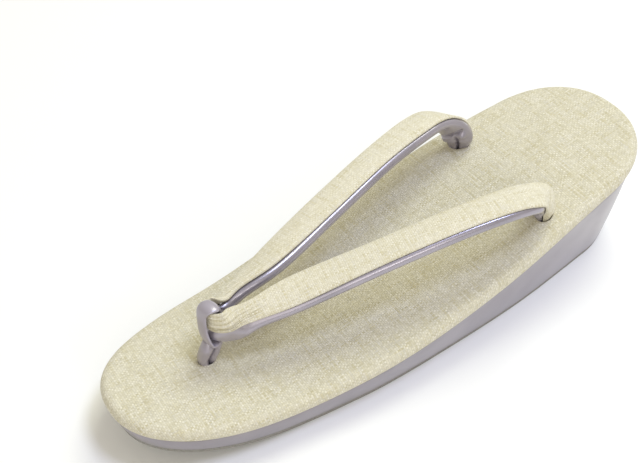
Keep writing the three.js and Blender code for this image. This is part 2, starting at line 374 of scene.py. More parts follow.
def ramp(
    tree: bpy.types.NodeTree, source: bpy.types.NodeSocket, stops: Sequence[tuple[float, str]]
) -> bpy.types.NodeSocket:
    """Colours a value.

    Args:
        tree: The material's node tree.
        source: The value, 0 to 1.
        stops: Places and hex colours, in rising order.

    Returns:
        The colour socket.
    """
    made = node(tree, "ShaderNodeValToRGB", {0: source})
    band = made.color_ramp
    while len(band.elements) < len(stops):
        band.elements.new(0.5)
    for element, (place, code) in zip(band.elements, stops):
        element.position = place
        element.color = linear(code)
    return made.outputs[0]


@dataclass(frozen=True)
class WovenCloth:
    """Plain weave of flat linen-like threads: matte, cream with straw and grey threads."""

    name: str
    warp: float  # between threads that run lengthwise, mm
    weft: float  # between threads that run across, mm
    relief: float  # height of a thread over the gap beside it, mm
    threads: tuple[tuple[float, str], ...] = (
        (0.3, "#cec5a2"),
        (0.44, "#e6e1cb"),
        (0.56, "#f0ecdd"),
        (0.7, "#e0ddd3"),
    )
    # The gaps' colour, which carries their painted shade; the duller lengthwise threads and the
    # mottle also lean to it
    gap: str = "#a69f83"
    contrast: float = 0.2  # how much duller the lengthwise threads are
    speckle: float = 0.3  # how far one crossing differs from the next
    fuzz: float = 0.5  # how far one fibre differs from the next
    fibre: float = 0.45  # between fibres, mm: real ones are too fine to show
    shadow: float = 0.3  # painted shade in the gaps between threads: how far they lean to the gap colour
    shadow_band: tuple[float, float] = (0.25, 0.75)  # of a thread's height, over which the painted shade fades
    flat: float = 0.6  # under 1 flattens the threads
    bends: float = 90.0  # of a thread, for each metre
    sway: float = 0.9  # of a bent thread, mm
    apart: float = 3.71  # from thread to thread in the noise that tones them
    drift: float = 0.07  # of a thread's tone from crossing to crossing
    seeds: tuple[float, float] = (3.0, 11.0)  # for lengthwise and crosswise threads

    def material(self) -> bpy.types.Material:
        """Builds the cloth.

        Returns:
            The material, which reads the piece's flat-cloth map.
        """
        made, tree = fresh_material(self.name)

        def maths(operation: str, a: object, b: object = 0.0) -> bpy.types.NodeSocket:
            """One step of arithmetic."""
            return node(tree, "ShaderNodeMath", {0: a, 1: b}, operation=operation).outputs[0]

        cloth = node(tree, "ShaderNodeUVMap", uv_map=CLOTH_UV).outputs[0]
        # Hand-twisted threads don't run quite straight
        wander = node(
            tree, "ShaderNodeTexNoise", {"Vector": cloth, "Scale": self.bends, "Detail": 3.0}
        )
        shifted = node(
            tree, "ShaderNodeVectorMath",
            {0: wander.outputs["Color"], 1: (0.5, 0.5, 0.5)}, operation="SUBTRACT",
        ).outputs[0]
        eased = node(
            tree, "ShaderNodeVectorMath", {0: shifted, "Scale": self.sway * MM}, operation="SCALE"
        ).outputs[0]
        laid = node(tree, "ShaderNodeVectorMath", {0: cloth, 1: eased}, operation="ADD").outputs[0]
        counted = node(
            tree, "ShaderNodeMapping",
            {"Vector": laid, "Scale": (1 / (self.warp * MM), 1 / (self.weft * MM), 1.0)},
        ).outputs[0]
        parts = node(tree, "ShaderNodeSeparateXYZ", {0: counted}).outputs
        across, along = parts[0], parts[1]
        column = maths("FLOOR", across)
        row = maths("FLOOR", along)
        heights = []
        for place, far, index, sign in ((across, along, column, 1.0), (along, across, row, -1.0)):
            arch = maths("SINE", maths("MULTIPLY", maths("FRACT", place), math.pi))
            phase = maths("MULTIPLY", maths("ADD", maths("SUBTRACT", far, 0.5), index), math.pi)
            over = maths("MULTIPLY_ADD", maths("COSINE", phase), 0.5 * sign)
            over.node.inputs[2].default_value = 0.5
            heights.append(maths("MULTIPLY", maths("POWER", arch, self.flat), over))
        top = maths("MAXIMUM", *heights)
        is_warp = maths("GREATER_THAN", *heights)
        tints = []
        for index, far, seed in zip((column, row), (along, across), self.seeds):
            thread_at = maths("MULTIPLY", index, self.apart)
            spot = node(
                tree, "ShaderNodeCombineXYZ",
                {0: thread_at, 1: maths("MULTIPLY", far, self.drift), 2: seed},
            ).outputs[0]
            tint = node(tree, "ShaderNodeTexNoise", {"Vector": spot, "Scale": 1.0, "Detail": 2.0})
            tints.append(ramp(tree, tint.outputs[0], self.threads))
        thread = self.colour_mix(tree, is_warp, tints[1], tints[0])
        thread = self.colour_mix(
            tree, maths("MULTIPLY", is_warp, self.contrast), thread, linear(self.gap)
        )
        cell = node(tree, "ShaderNodeCombineXYZ", {0: column, 1: row}).outputs[0]
        speck = node(
            tree, "ShaderNodeTexWhiteNoise", {"Vector": cell}, noise_dimensions="3D"
        ).outputs[0]
        fibre = node(
            tree, "ShaderNodeTexNoise",
            {"Vector": cloth, "Scale": 1 / (self.fibre * MM), "Detail": 2.0},
        ).outputs[0]
        mottle = maths(
            "ADD", maths("MULTIPLY", speck, self.speckle), maths("MULTIPLY", fibre, self.fuzz)
        )
        thread = self.colour_mix(tree, mottle, thread, linear(self.gap))
        # Painted shade: the lower the thread's surface, the nearer it comes to the gap colour
        low, high = self.shadow_band
        depth = node(
            tree, "ShaderNodeMapRange", {0: top, 1: low, 2: high, 3: 1.0, 4: 0.0},
            interpolation_type="SMOOTHSTEP",
        ).outputs[0]
        dark = maths("MULTIPLY", depth, self.shadow)
        shade = self.colour_mix(tree, dark, thread, linear(self.gap))
        bump = node(
            tree, "ShaderNodeBump", {"Height": top, "Strength": 0.8, "Distance": self.relief * MM}
        ).outputs[0]
        skin = node(
            tree, "ShaderNodeBsdfPrincipled",
            {
                "Base Color": shade, "Normal": bump, "Roughness": 0.88,
                "Sheen Weight": 0.15, "Sheen Roughness": 0.6, "Specular IOR Level": 0.25,
            },
        ).outputs[0]
        node(tree, "ShaderNodeOutputMaterial", {0: skin})
        return made

    @staticmethod
    def colour_mix(
        tree: bpy.types.NodeTree, share: object, first: object, second: object
    ) -> bpy.types.NodeSocket:
        """Mixes two colours.

        Args:
            tree: The material's node tree.
            share: How much of the second.
            first: A colour or its socket.
            second: A colour or its socket.

        Returns:
            The mixed colour's socket.
        """
        made = node(tree, "ShaderNodeMix", {0: share, 6: first, 7: second}, data_type="RGBA")
        return made.outputs[2]


@dataclass(frozen=True)
class PearlLeather:
    """Coated calf leather with a pearly enamel: smooth, fine pores, soft bright highlights."""

    name: str
    base: str = "#9f99a4"
    light: str = "#a8a2ad"
    dark: str = "#948f99"
    pore: float = 0.45  # between pores, mm: calf's own are finer and wouldn't show
    pore_depth: float = 0.03  # mm
    patch: float = 22.0  # of slow colour change, mm
    coat: float = 0.9  # of clear enamel, for the soft bright highlights
    pearl: float = 0.5  # of pearl flakes, which brighten where light is thrown back

    def material(self) -> bpy.types.Material:
        """Builds the leather.

        Returns:
            The material, which reads Object coordinates.
        """
        made, tree = fresh_material(self.name)
        place = node(tree, "ShaderNodeTexCoord").outputs["Object"]
        slow = node(
            tree, "ShaderNodeTexNoise",
            {"Vector": place, "Scale": 1 / (self.patch * MM), "Detail": 3.0},
        ).outputs[0]
        colour = ramp(tree, slow, ((0.3, self.dark), (0.5, self.base), (0.7, self.light)))
        pores = node(
            tree, "ShaderNodeTexVoronoi", {"Vector": place, "Scale": 1 / (self.pore * MM)},
            feature="SMOOTH_F1",
        ).outputs[0]
        bump = node(
            tree, "ShaderNodeBump",
            {"Height": pores, "Strength": 0.25, "Distance": self.pore_depth * MM},
        ).outputs[0]
        skin = node(
            tree, "ShaderNodeBsdfPrincipled",
            {
                "Base Color": colour, "Normal": bump, "Roughness": 0.3, "IOR": 1.5,
                "Metallic": self.pearl, "Coat Weight": self.coat, "Coat Roughness": 0.18,
            },
        ).outputs[0]
        node(tree, "ShaderNodeOutputMaterial", {0: skin})
        return made


@dataclass(frozen=True)
class PaleRubber:
    """Pale grey crepe sheet: matte, with a fine stipple from its mould."""

    name: str = "stippled_crepe_sheet"
    # Both greys are partly the rubber's own and partly painted shade on the sheet under the sandal
    base: str = "#918f89"
    dark: str = "#7d7c76"
    stipple: float = 0.8  # between dimples, mm
    stipple_depth: float = 0.12  # mm

    def material(self) -> bpy.types.Material:
        """Builds the rubber.

        Returns:
            The material, which reads Object coordinates.
        """
        made, tree = fresh_material(self.name)
        place = node(tree, "ShaderNodeTexCoord").outputs["Object"]
        dots = node(
            tree, "ShaderNodeTexVoronoi", {"Vector": place, "Scale": 1 / (self.stipple * MM)},
            feature="SMOOTH_F1",
        ).outputs[0]
        # Darker in the dimples' hollows: painted shade
        colour = ramp(tree, dots, ((0.1, self.dark), (0.5, self.base)))
        bump = node(
            tree, "ShaderNodeBump",
            {"Height": dots, "Strength": 0.6, "Distance": self.stipple_depth * MM},
        ).outputs[0]
        skin = node(
            tree, "ShaderNodeBsdfPrincipled",
            {"Base Color": colour, "Normal": bump, "Roughness": 0.8, "Specular IOR Level": 0.3},
        ).outputs[0]
        node(tree, "ShaderNodeOutputMaterial", {0: skin})
        return made


@dataclass(frozen=True)
class Last:
    """The sole's outline and heights. A place is a share of the length, from the toe."""

    length: float = 240.0
    toe_reach: float = 0.318
    toe_power: float = 2.35
    heel_reach: float = 0.17
    heel_power: float = 2.23
    spring_rise: float = 12.0
    spring_reach: float = 0.302
    spring_power: float = 1.9
    around: int = 240
    spine: float = 0.72  # how far towards the tips the line reaches on which both sides meet
    plan: tuple[tuple[float, ...], ...] = (
        (0.12, 35.1), (0.25, 35.9), (0.4, 39.3), (0.55, 39.7), (0.7, 38.4), (0.85, 34.5),
    )
    side: tuple[tuple[float, ...], ...] = (
        (0, 20.7, 0.9), (0.12, 15.6, 1.6), (0.25, 13.5, 2.4), (0.38, 15.6, 3.2), (0.5, 19.3, 4),
        (0.62, 25.4, 4.7), (0.75, 33.6, 5.5), (0.88, 39.9, 6.3), (1, 44.9, 7.1),
    )
    curves: dict[str, Column] = field(default_factory=dict)
    outline: list[tuple[Vector, Vector, float]] = field(default_factory=list)

    def __post_init__(self) -> None:
        """Works out the curves and the outline once."""
        self.curves.update(columns("at half", self.plan))
        self.curves.update(columns("at seam inset", self.side))
        count = self.around
        points = []
        for i in range(count):
            angle = 2 * math.pi * i / count
            at = (1 - math.cos(angle)) / 2
            side = 1 if angle < math.pi else -1
            points.append(Vector((side * self.half_width(at), (at - 0.5) * self.length, 0)))
        for i, point in enumerate(points):
            along = (points[(i + 1) % count] - points[i - 1]).normalized()
            self.outline.append((point, Vector((along.y, -along.x, 0)), self.at(point.y)))

    def at(self, y: float) -> float:
        """The place of a Y."""
        return min(max(y / self.length + 0.5, 0.0), 1.0)

    def half_width(self, at: float) -> float:
        """Half the width of the seam's outline.

        Args:
            at: The place.

        Returns:
            The half width there, rounded off to nothing at both tips.
        """
        ends = 1.0
        for from_tip, reach, exponent in (
            (at, self.toe_reach, self.toe_power), (1 - at, self.heel_reach, self.heel_power),
        ):
            share = max(1 - from_tip / reach, 0.0) ** exponent
            ends *= max(1 - share, 0.0) ** (1 / exponent)
        return self.curves["half"](at) * ends

    def seam(self, at: float) -> float:
        """Height of the seam between footbed and wedge."""
        return self.curves["seam"](at)

    def draw_in(self, at: float) -> float:
        """How far the wedge's lower edge lies inside the seam."""
        return self.curves["inset"](at)

    def base(self, at: float) -> float:
        """Height of the underside: flat from the ball to the heel, curling up at the toe."""
        return self.spring_rise * max(1 - at / self.spring_reach, 0.0) ** self.spring_power

    def ring(
        self, inset: Callable[[float], float], height: Callable[[float], float], share: float = 1.0
    ) -> list[Vector]:
        """One ring round the sole.

        Args:
            inset: How far inside the seam, at a place.
            height: Height over the floor, at a place.
            share: 1 on the ring, 0 where both sides meet on the centre line.

        Returns:
            The ring's points.
        """
        spine = self.spine + (1 - self.spine) * share
        spots = []
        for point, out, at in self.outline:
            spot = point - out * inset(at)
            x, y = spot.x * share, spot.y * spine
            spots.append(Vector((x, y, height(self.at(y)))))
        return spots


@dataclass
class Outsole:
    """The pale sheet underneath."""

    last: Last
    thickness: float = 1.8
    inset: float = 0.7  # of its edge behind the wedge's lower edge
    edge: float = 0.3  # soft corner below
    upper_edge: float = 0.1  # the same above
    shares: tuple[float, ...] = (0.8, 0.6, 0.4, 0.2, 0.0)

    def build(self, rubber: bpy.types.Material) -> bpy.types.Object:
        """Makes the sheet.

        Args:
            rubber: Its material.

        Returns:
            The piece.
        """
        profile = (
            (self.edge, 0.0), (0.0, self.edge), (0.0, self.thickness - self.upper_edge),
            (self.upper_edge, self.thickness),
        )
        shell = Shell.slab(self.ring, profile, self.shares)
        return shell.piece("crepe_outsole", rubber, crease=40)

    def ring(self, inset: float, rise: float, share: float = 1.0) -> list[Vector]:
        """One ring of the sheet.

        Args:
            inset: How far inside its edge.
            rise: Height over its underside.
            share: As in Last.ring.

        Returns:
            The ring's points.
        """
        last = self.last
        return last.ring(
            lambda at: last.draw_in(at) + self.inset + inset, lambda at: last.base(at) + rise, share
        )


@dataclass
class Wedge:
    """The wedge, wrapped in leather: upright at the toe, drawn in under the heel."""

    last: Last
    lift: float = 2.1  # of its underside over the outsole's
    edge: float = 1.1  # the leather's turn at the lower edge
    tuck: float = 1.1  # the leather's turn in under the footbed
    joint: float = 0.05  # from its upper face to the seam
    bulge: float = 0.35  # of the wall between its edges
    shares: tuple[float, ...] = (0.75, 0.5, 0.25, 0.0)
    wall_steps: int = 10
    turn_steps: int = 5

    def build(self, leather: bpy.types.Material) -> bpy.types.Object:
        """Makes the wrapped wedge.

        Args:
            leather: Its material.

        Returns:
            The piece.
        """
        rows: list[tuple[float, float, float]] = []  # share of the wall's height, inset, rise
        for i in range(self.turn_steps + 1):
            angle = math.pi / 2 * i / self.turn_steps
            rows.append((0.0, self.edge * (1 - math.sin(angle)), self.edge * (1 - math.cos(angle))))
        for i in range(1, self.wall_steps):
            share = i / self.wall_steps
            rows.append((share, -self.bulge * math.sin(math.pi * share), self.edge * (1 - share)))
        for i in range(self.turn_steps + 1):
            angle = math.pi / 2 * i / self.turn_steps
            drop = self.tuck * (1 - math.sin(angle))
            rows.append((1.0, self.tuck * (1 - math.cos(angle)), -self.joint - drop))
        shell = Shell.slab(self.ring, rows, self.shares)
        return shell.piece("leather_wedge", leather, crease=70)

    def ring(self, wall: float, inset: float, rise: float, share: float = 1.0) -> list[Vector]:
        """One ring of the wedge.

        Args:
            wall: Share of the wall's height, 0 at the lower edge.
            inset: How far inside the straight wall.
            rise: Added height.
            share: As in Last.ring.

        Returns:
            The ring's points.
        """
        last = self.last

        def height(at: float) -> float:
            """Height on the wall at a place."""
            low = last.base(at) + self.lift
            return low + (last.seam(at) - low) * wall + rise

        return last.ring(lambda at: last.draw_in(at) * (1 - wall) + inset, height, share)


@dataclass(frozen=True)
class Hole:
    """A hole that the cloth is drawn into, oval and turned."""

    x: float
    y: float
    half_x: float
    half_y: float
    turn: float
    mouth: float = 0.5  # over which the cloth rounds into it
    steep: float = 5.0  # fall of the cloth past the edge
    depth: float = 7.0

    def away(self, x: float, y: float) -> float:
        """Distance from the hole's edge.

        Args:
            x: Where, across the sandal.
            y: Where, along it.

        Returns:
            The distance, negative inside the hole.
        """
        turn = math.radians(self.turn)
        dx, dy = x - self.x, y - self.y
        a = dx * math.cos(turn) + dy * math.sin(turn)
        b = -dx * math.sin(turn) + dy * math.cos(turn)
        reach = math.hypot(a / self.half_x, b / self.half_y)
        if reach < TINY:
            return -min(self.half_x, self.half_y)
        return math.hypot(a, b) * (1 - 1 / reach)

    def drop(self, x: float, y: float) -> float:
        """How far the cloth is drawn down.

        Args:
            x: Where, across the sandal.
            y: Where, along it.

        Returns:
            Its depth under the plain top.
        """
        away = self.away(x, y)
        if away >= self.mouth:
            return 0.0
        if away >= 0:
            return self.mouth - math.sqrt(self.mouth**2 - (self.mouth - away) ** 2)
        return min(self.mouth - self.steep * away, self.depth)


@dataclass
class Footbed:
    """The padded top, wrapped in woven cloth, with a rolled edge and three holes."""

    last: Last
    holes: tuple[Hole, ...]
    overhang: float = 1.0
    roll: float = 4.0  # radius of the rolled edge
    roll_lift: float = 1.3  # of the roll's centre over the seam
    tuck: float = 0.1  # height over the seam where the cloth tucks in
    tuck_steps: int = 5
    under: float = 2.0  # how far the cloth runs in underneath
    under_shares: tuple[float, ...] = (0.66, 0.33, 0.0)
    crown: float = 0.8
    steps: int = 12
    shares: tuple[float, ...] = (
        0.96, 0.9, 0.83, 0.76, 0.69, 0.62, 0.55, 0.48, 0.41, 0.34, 0.27, 0.2, 0.13, 0.06, 0.0,
    )
    unevenness: float = 0.12
    wave: float = 16.0  # length of the unevenness
    fine_within: tuple[float, ...] = (9.0, 5.0, 3.2)  # of a hole's edge, finer each time
    margin: float = 0.3  # under the plain top that still counts as top

    def build(self, cloth: bpy.types.Material) -> bpy.types.Object:
        """Makes the footbed.

        Args:
            cloth: Its material.

        Returns:
            The piece.
        """
        last = self.last
        centre = self.roll - self.overhang
        shell = Shell(last.ring(lambda at: self.under, lambda at: last.seam(at) + self.tuck))

        def wrap(inset: float, rise: float, hem: float) -> None:
            """Grows one ring of the cloth round the edge."""
            shell.grow(
                last.ring(lambda at: inset, lambda at: last.seam(at) + rise),
                last.ring(lambda at: -hem, lambda at: 0.0),
            )

        for i in range(self.tuck_steps):
            angle = math.pi / 2 * (i / self.tuck_steps - 1)
            rise = self.roll_lift + (self.roll_lift - self.tuck) * math.sin(angle)
            hem = self.roll * math.pi / 2 - self.roll_lift * angle - centre
            wrap(-self.overhang * math.cos(angle), rise, hem)
        for i in range(self.steps + 1):
            angle = math.pi / 2 * i / self.steps
            rise = self.roll_lift + self.roll * math.sin(angle)
            hem = self.roll * (math.pi / 2 - angle) - centre
            wrap(centre - self.roll * math.cos(angle), rise, hem)
        top = self.roll_lift + self.roll
        for share in self.shares:
            rise = top + self.crown * (1 - share * share)
            flat = last.ring(lambda at: centre, lambda at: 0.0, share)
            shell.grow(last.ring(lambda at: centre, lambda at: last.seam(at) + rise, share), flat)
        shell.turn_back()
        for share in self.under_shares:
            shell.grow(
                last.ring(lambda at: self.under, lambda at: last.seam(at) + self.tuck, share)
            )
        shell.merge()
        self.draw_in(shell)
        return shell.piece("woven_footbed", cloth, crease=80)

    def draw_in(self, shell: Shell) -> None:
        """Draws the cloth into the holes, and leaves it a little uneven elsewhere.

        Args:
            shell: The footbed's mesh.
        """
        bm = shell.bm
        for reach in self.fine_within:
            near = [
                edge for edge in bm.edges
                if all(map(self.on_top, edge.verts)) and self.nearest(edge) < reach
            ]
            bmesh.ops.subdivide_edges(bm, edges=near, cuts=1, use_grid_fill=True)
        for vert in bm.verts:
            if not self.on_top(vert):
                continue
            x, y, _ = vert.co / MM
            drop = max(hole.drop(x, y) for hole in self.holes)
            wave = self.unevenness * noise.noise(Vector((x, y, 0)) / self.wave)
            vert.co.z += (wave - drop) * MM

    def on_top(self, vert: bmesh.types.BMVert) -> bool:
        """Whether a point lies on the plain top."""
        _, y, z = vert.co / MM
        return z > self.last.seam(self.last.at(y)) + self.roll_lift + self.roll - self.margin

    def nearest(self, edge: bmesh.types.BMEdge) -> float:
        """Distance from an edge's middle to the nearest hole."""
        x, y, _ = (edge.verts[0].co + edge.verts[1].co) / 2 / MM
        return min(abs(hole.away(x, y)) if hole.away(x, y) > 0 else 0.0 for hole in self.holes)


@dataclass(frozen=True)
class Section:
    """One section across the strap."""

    centre: Vector
    face: Vector
    side: Vector
    place: float  # rows of the table from the fold, negative on the left
    travel: float  # along the strap from the fold, mm
    sizes: dict[str, float]


@dataclass
class Strap:
    """The padded V-shaped strap: a woven face and a leather backing, joined at both seams."""

    names: str = "place x y z lift turn half face_edge face_rise high back_edge back_rise low"
    rows: tuple[tuple[float, ...], ...] = (
        (0, -76.6, 40, 6, 0, 2, 0.5, 1.8, 3.8, 0.8, 1.5, 5),
        (3.1, -75.5, 40.2, 6, 48, 1.9, 0.5, 1.8, 4.2, 0.8, 1.6, 5.4),
        (4.9, -72.3, 40.1, 12, 80, 1.9, 0.5, 2.3, 4.6, 0.8, 2.2, 5.7),
        (5.6, -67.6, 40.9, 50, 82, 2.15, 0.6, 3, 2.6, 0.8, 4.4, 3.9),
        (7.2, -61, 43, 60, 82, 3, 0.75, 2.2, 0.7, 1.4, 5, 1.8),
        (10, -44.7, 46.1, 75, 80, 5.05, 0.85, 2, 0, 2, 5.5, 0.3),
        (16.9, -14.5, 51.7, 87, 78, 5, 0.85, 2, 0, 2.1, 5.6, 0),
        (23.7, 15.7, 56.6, 87, 80, 4.9, 0.85, 2, 0, 2.1, 5.6, 0),
        (28.2, 38.3, 57.9, 86, 90, 5.15, 0.85, 2, 0, 2, 5.3, 0),
        (29.8, 49.6, 55.7, 72, 112, 4.9, 0.8, 1.9, 0, 1.6, 4.9, 0),
        (28.4, 56.4, 50.7, 34, 122, 4.4, 0.8, 1.7, 0, 1.2, 5.2, 0.9),
        (27.2, 59.6, 46, 10, 130, 4.8, 0.5, 2.8, 0, 0.9, 5.6, 1.7),
        (26.4, 60, 42.8, 0, 134, 4.7, 0.4, 4.1, 0, 0.8, 5.2, 1.7),
        (26.2, 59.8, 40.4, 0, 135, 3.9, 0.3, 3.9, 0, 0.5, 3.4, 1),
        (26.2, 59.8, 35.2, 0, 135, 3.2, 0.2, 2.4, 0, 0.3, 2.2, 0),
    )
    steps_per_row: int = 12
    face_points: int = 88
    back_points: int = 64
    seam_gap: float = 0.3  # between the halves: the dark line over the leather's roll
    face_share: float = 0.1  # of that gap on the cloth's side
    lap: float = 1.9  # how far the leather laps forward under the cloth at the fold
    lap_length: float = 5.0  # along the strap
    fullness: float = 0.86  # under 1 squares up the padding
    face_turn: float = 0.6  # how the cloth turns beside the seam: under 1 is sharper
    back_turn: float = 1.0  # the same for the leather, which makes a round roll
    # Gathers in the woven face beside the toe loop: place across from -1 to 1, depth, length
    gathers: tuple[tuple[float, float, float], ...] = (
        (-0.8, 0.5, 15), (-0.62, 0.75, 22), (-0.42, 0.62, 17), (-0.22, 0.8, 25),
        (-0.02, 0.7, 18), (0.18, 0.85, 24), (0.38, 0.75, 20), (0.58, 0.7, 17), (0.78, 0.5, 13),
    )
    gather_width: float = 0.06
    gather_sway: tuple[float, float, float] = (0.05, 5, 9)  # reach across, mm per radian, phase
    seam_ease: float = 3.0  # how soon gathers and creases reach their depth from a seam
    # Creases in the leather near a rear hole. Places along count the table's rows from the fold.
    # Depth, middle across, width across, and the places along where it starts and is full
    fold: tuple[float, ...] = (1.8, 0.1, 0.08, 10.2, 11.2)
    rim: tuple[float, ...] = (0.35, 0.72, 0.07, 10.4, 11.2)
    # Depth, place and width along, and the places across where it starts and is full
    tuck: tuple[float, ...] = (1.9, 10.3, 0.15, -0.95, -0.45)
    # Height, place and width along, middle and width across
    bulb: tuple[float, ...] = (0.9, 10.85, 0.3, -0.4, 0.28)
    # Puckers beside the toe loop: depth, distance and reach along, waves per mm, as above across
    pucker: tuple[float, ...] = (0.35, 9, 6, 1.5, -0.8, 0.5)

    def sections(self) -> list[Section]:
        """Works out the sections.

        Returns:
            Sections from the left rear hole, round the fold, to the right rear hole.
        """
        last = len(self.rows) - 1
        right = [(i, *row) for i, row in enumerate(self.rows)]
        left = [
            (-i, -x, y, z, lift, -turn, *rest) for i, x, y, z, lift, turn, *rest in right[:0:-1]
        ]
        read = columns(self.names, left + right)

        def spot(place: float) -> Vector:
            """Middle of the strap at a place."""
            return Vector((read["x"](place), read["y"](place), read["z"](place)))

        made = []
        count = last * self.steps_per_row
        for i in range(-count, count + 1):
            place = i / self.steps_per_row
            after, before = min(place + SHORT_STEP, last), max(place - SHORT_STEP, -last)
            ahead = (spot(after) - spot(before)).normalized()
            face = self.facing(read["lift"](place), read["turn"](place))
            face = (face - ahead * face.dot(ahead)).normalized()
            sizes = {name: curve(place) for name, curve in read.items()}
            made.append([spot(place), face, ahead.cross(face), place, sizes])
        travel, middle = [0.0], len(made) // 2
        for before, after in zip(made, made[1:]):
            travel.append(travel[-1] + (after[0] - before[0]).length)
        return [
            Section(centre, face, side, place, travel[i] - travel[middle], sizes)
            for i, (centre, face, side, place, sizes) in enumerate(made)
        ]

    @staticmethod
    def facing(lift: float, turn: float) -> Vector:
        """A direction.

        Args:
            lift: Degrees above level.
            turn: Degrees round from the toe.

        Returns:
            The direction, of length 1.
        """
        up, round_ = math.radians(lift), math.radians(turn)
        level = math.cos(up)
        return Vector((math.sin(round_) * level, -math.cos(round_) * level, math.sin(up)))

    def lobe(self, section: Section, half: Half) -> tuple[list[Vector], list[Vector]]:
        """One half of a section.

        Args:
            section: Where on the strap.
            half: Which half.

        Returns:
            The ring's points, and where they lie on the flat cloth.
        """
        sizes = section.sizes
        is_face = half is Half.FACE
        edge, rise, more = (
            (sizes["face_edge"], sizes["face_rise"], (0.0, sizes["high"])) if is_face
            else (sizes["back_edge"], sizes["back_rise"], (sizes["low"], 0.0))
        )
        count = self.face_points if is_face else self.back_points
        turn = self.face_turn if is_face else self.back_turn
        gap = self.seam_gap * (self.face_share if is_face else 1 - self.face_share)
        reaches = [sizes["half"] + edge + extra for extra in more]
        starts = [math.acos(sizes["half"] / reach) for reach in reaches]
        spots, flats = [], []
        arc = 0.0
        for i in range(count + 1):
            angle = -starts[0] + (math.pi + sum(starts)) * i / count
            upper = math.cos(angle) < 0
            across = reaches[upper] * math.cos(angle)
            lead = math.sin(starts[upper])
            out = rise * max(lead + power(math.sin(angle), self.fullness), 0.0) / (1 + lead)
            if math.sin(angle) < 0:
                # Each half runs out level from the seam, then turns
                roll = math.pi / 2 * (1 - math.asin(-math.sin(angle)) / starts[upper])
                over = (reaches[upper] - sizes["half"]) * power(math.sin(roll), turn)
                across = math.copysign(sizes["half"] + over, across)
                out = rise * lead / (1 + lead) * (1 - power(math.cos(roll), turn))
                if not is_face and not upper:
                    out -= self.lap * bell(section.travel, self.lap_length) * math.sin(2 * roll)
            out += gap + self.relief(section, half, math.cos(angle), max(math.sin(angle), 0.0))
            spot = section.centre + section.side * across + section.face * (half.value * out)
            if spots:
                arc += (spot - spots[-1]).length
            spots.append(spot)
            flats.append(Vector((arc, section.travel, 0)))
        return spots, flats

    def relief(self, section: Section, half: Half, across: float, high: float) -> float:
        """Gathers and creases.

        Args:
            section: Where on the strap.
            half: Which half.
            across: -1 at one seam, 1 at the other.
            high: 0 at the seams, 1 on the crest.

        Returns:
            What to add to the height, mm.
        """
        travel, place = abs(section.travel), abs(section.place)
        ease = min(high * self.seam_ease, 1.0)
        made = 0.0
        if half is Half.FACE:
            reach, bend, phase = self.gather_sway
            for at, depth, length in self.gathers:
                sway = reach * math.sin(travel / bend + at * phase)
                made -= depth * bell(across - at - sway, self.gather_width) * bell(travel, length)
            return made * ease
        for depth, middle, width, start, full in (self.fold, self.rim):
            made -= depth * bell(across - middle, width) * smooth_step(start, full, place)
        depth, middle, width, start, full = self.tuck
        made -= depth * bell(place - middle, width) * smooth_step(start, full, across)
        height, middle, width, across_middle, across_width = self.bulb
        made += height * bell(place - middle, width) * bell(across - across_middle, across_width)
        depth, middle, width, waves, across_middle, across_width = self.pucker
        ripple = 0.5 + 0.5 * math.sin(travel * waves)
        made -= (
            depth * bell(travel - middle, width) * ripple
            * bell(across - across_middle, across_width)
        )
        return made * ease

    def build_half(self, half: Half, name: str, finish: bpy.types.Material) -> bpy.types.Object:
        """Makes one half of the strap.

        Args:
            half: Which half.
            name: The piece's name.
            finish: Its material.

        Returns:
            The piece.
        """
        rings = [self.lobe(section, half) for section in self.sections()]
        shell = Shell(rings[0][0])
        shell.put(*rings[0])
        for ring in rings[1:]:
            shell.grow(*ring)
        shell.shut_both()
        return shell.piece(name, finish, crease=75)


